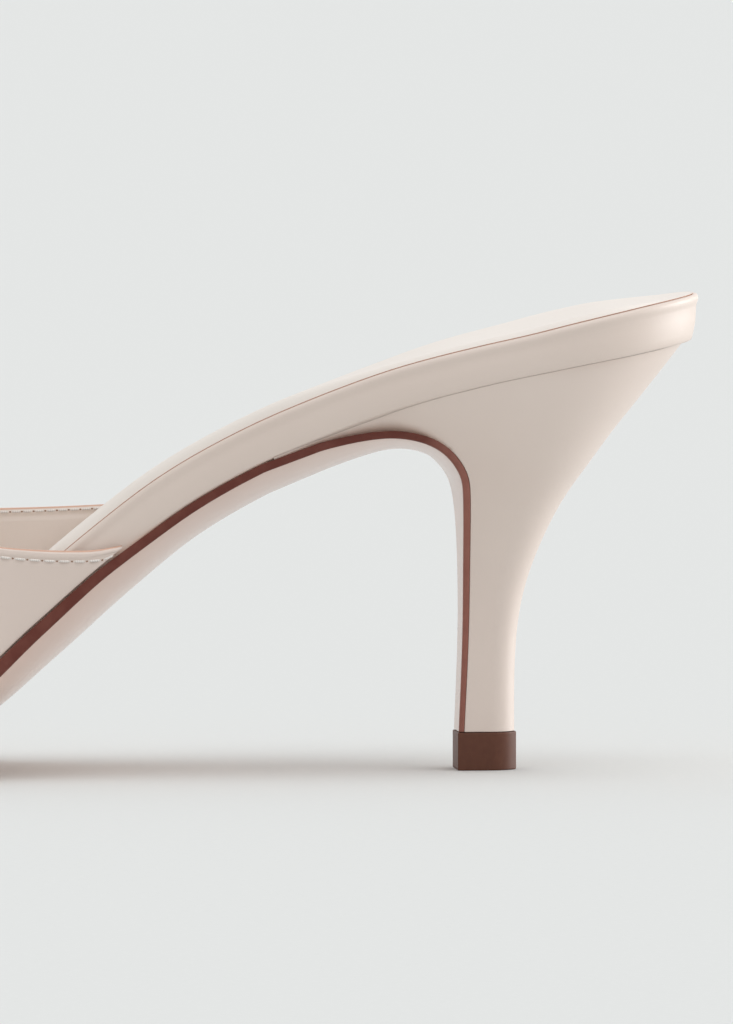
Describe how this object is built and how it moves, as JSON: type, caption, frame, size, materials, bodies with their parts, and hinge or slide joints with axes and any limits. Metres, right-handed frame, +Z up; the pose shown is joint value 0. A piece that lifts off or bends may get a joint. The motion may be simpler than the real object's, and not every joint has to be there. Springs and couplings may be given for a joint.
{
  "type": "heeled sandal",
  "caption": "Open-back leather sandal on a slim curved heel: band over the ball of the foot, open toe, padded footbed, thin outsole that runs down the front of the heel",
  "frame": {"origin": "centre of the heel tip's floor face", "axes": "+Z up from the floor, -X to the toe, +Y to the outer (little toe) side of a right foot"},
  "size_m": [0.2325, 0.0799, 0.0762],
  "materials": {
    "outsole_leather": "smooth pale pink-beige sole leather with a painted dark brown edge",
    "upper_leather": "smooth cream calf leather, folded topline with one row of cream stitches",
    "insole_cover": "smooth cream leather wrapped round a padded insole",
    "sock_leather": "smooth pale cream lining leather",
    "heel_cover": "smooth cream leather pulled over a moulded heel",
    "tip_rubber": "satin dark brown top piece"
  },
  "bodies": {
    "root": {"outsole": "outsole_leather", "upper": "upper_leather", "insole": "insole_cover", "sock": "sock_leather", "heel": "heel_cover", "heel_tip": "tip_rubber"}
  },
  "joints": []
}
